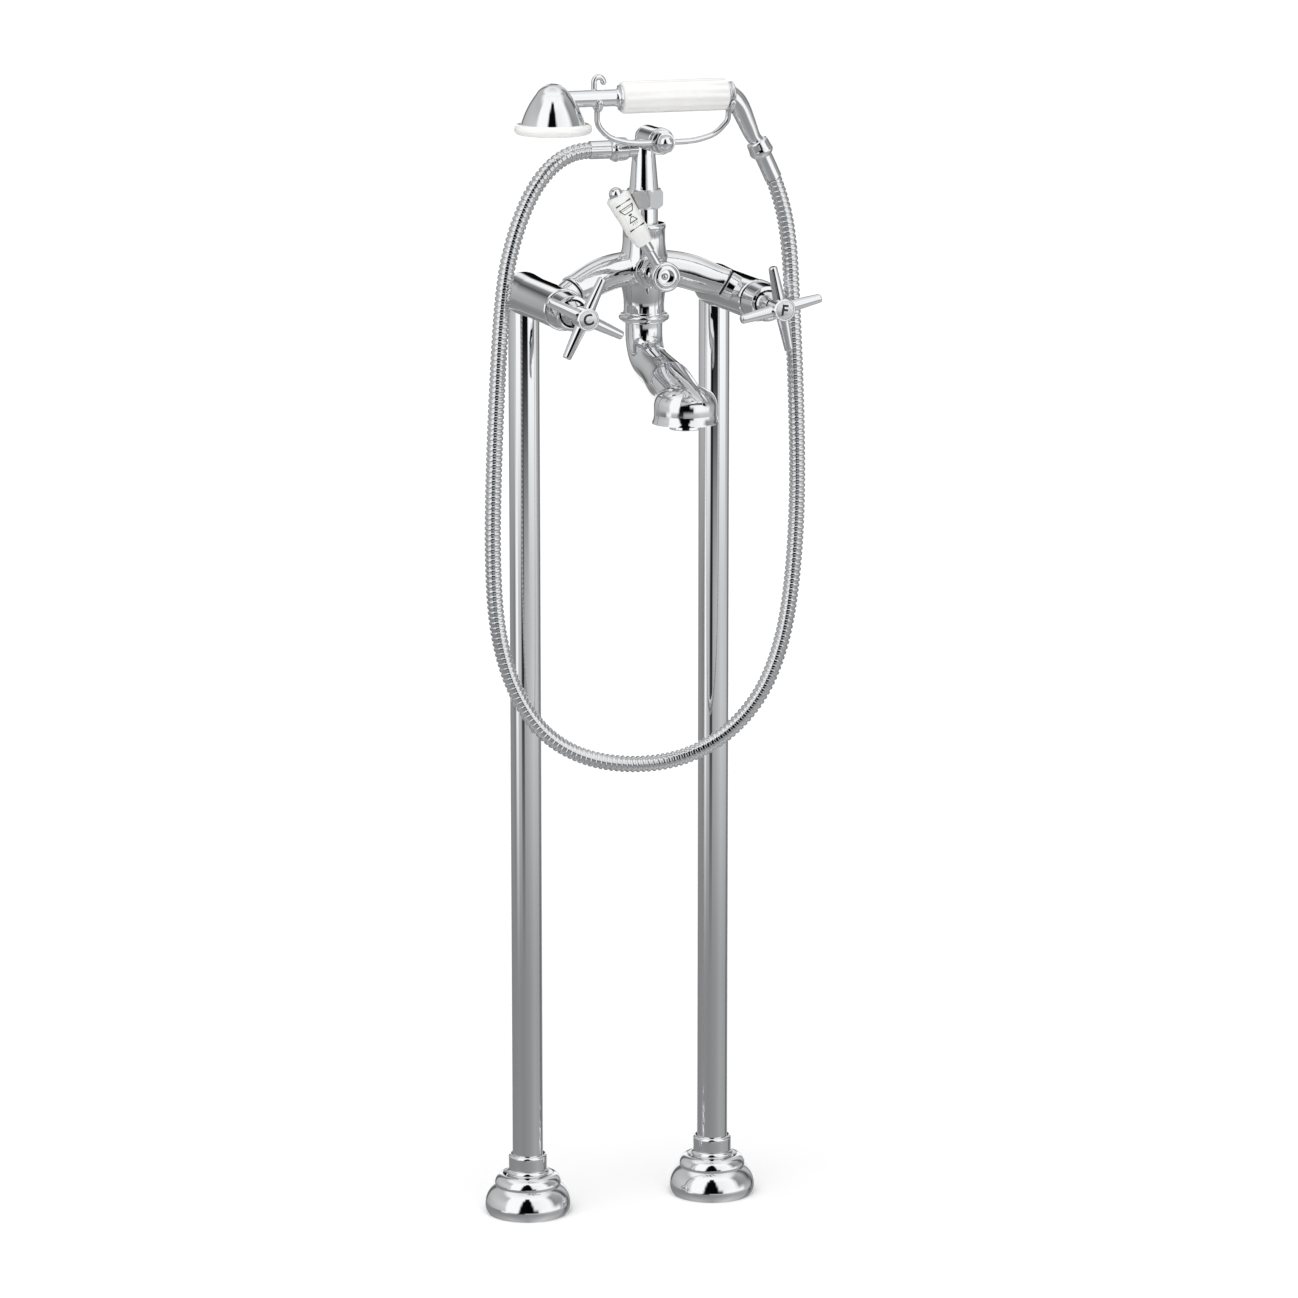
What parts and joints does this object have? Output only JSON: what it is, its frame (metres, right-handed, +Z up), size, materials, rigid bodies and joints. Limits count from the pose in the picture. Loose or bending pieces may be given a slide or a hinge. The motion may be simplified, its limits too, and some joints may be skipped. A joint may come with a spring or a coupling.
{
  "type": "floor standing bath filler",
  "caption": "Chrome bath filler on floor legs with cross handles, a swivel spout, a diverter lever and a hand shower resting on an open cradle.",
  "frame": {"origin": "centre of the four floor screws, on the floor, midway between the legs", "axes": "+Z up; -Y toward the bath and the user, where the spout reaches; +X to the cold side"},
  "size_m": [0.2829, 0.2523, 1.0878],
  "materials": {
    "chrome": "polished chrome plate on brass, mirror bright",
    "porcelain": "white glazed porcelain, glossy",
    "rubber": "black nitrile rubber, matt",
    "brass": "turned brass, not plated",
    "steel": "stainless steel, satin",
    "index_satin": "satin chrome plate with a dark letter",
    "plastic": "pale moulded acetal, matt"
  },
  "bodies": {
    "stand": {"hot_floor_flange": "chrome", "hot_flange_collar": "chrome", "hot_lower_leg": "chrome", "hot_upper_leg": "chrome", "hot_valve_body": "chrome", "hot_cartridge": "brass", "hot_bonnet": "chrome", "cold_floor_flange": "chrome", "cold_flange_collar": "chrome", "cold_lower_leg": "chrome", "cold_upper_leg": "chrome", "cold_valve_body": "chrome", "cold_cartridge": "brass", "cold_bonnet": "chrome", "collar_grub_screws": "steel", "floor_fixing_plates": "brass", "floor_anchor_screws": "steel", "leg_joint_nipples": "brass", "leg_joint_o_rings": "rubber", "arm_union_washers": "rubber", "mixer_body": "chrome", "diverter_bonnet": "chrome", "diverter_cartridge": "brass", "spout_swivel_ring": "chrome", "riser_tail": "chrome", "riser_union_nut": "chrome", "riser_washer": "rubber", "riser_tee": "chrome", "cradle_bow": "chrome", "cradle_bolt": "steel", "cradle_cap_nut": "chrome", "outlet_hose_nut": "chrome", "outlet_hose_ferrule": "chrome", "shower_hose": "chrome"},
    "hot_tap": {"hot_spindle": "brass", "hot_handle": "chrome", "hot_handle_screw": "steel", "hot_index_disc": "index_satin"},
    "cold_tap": {"cold_spindle": "brass", "cold_handle": "chrome", "cold_handle_screw": "steel", "cold_index_disc": "index_satin"},
    "diverter_lever": {"diverter_spindle": "brass", "diverter_hub": "chrome", "diverter_hub_screw": "steel", "diverter_lever_rod": "steel", "diverter_lever_grip": "porcelain", "diverter_lever_cap": "chrome"},
    "swivel_spout": {"spout": "chrome", "spout_o_rings": "rubber", "aerator_housing": "chrome", "aerator_insert": "plastic"},
    "handset": {"handset_tube": "chrome", "handset_grip": "porcelain", "handset_tail": "chrome", "rose_shell": "chrome", "rose_rim": "porcelain", "spray_plate": "steel", "handset_hose_nut": "chrome", "handset_hose_ferrule": "chrome"}
  },
  "joints": [
    {"name": "hot_handle_turn", "type": "hinge", "parent": "stand", "child": "hot_tap", "pos_m": [-0.09, -0.15, 0.85], "axis": [0, -1, 0], "range_deg": [0, 90]},
    {"name": "cold_handle_turn", "type": "hinge", "parent": "stand", "child": "cold_tap", "pos_m": [0.09, -0.15, 0.85], "axis": [0, -1, 0], "range_deg": [0, 90]},
    {"name": "diverter_turn", "type": "hinge", "parent": "stand", "child": "diverter_lever", "pos_m": [0, -0.115, 0.876], "axis": [0, 1, 0], "range_deg": [0, 62]},
    {"name": "spout_swivel", "type": "hinge", "parent": "stand", "child": "swivel_spout", "pos_m": [0, -0.066, 0.84], "axis": [0, 0, 1], "range_deg": [-50, 50]},
    {"name": "handset_lift", "type": "slide", "parent": "stand", "child": "handset", "axis": [0, 0, 1], "range_m": [0, 0.045], "deforming": ["shower_hose"]}
  ]
}
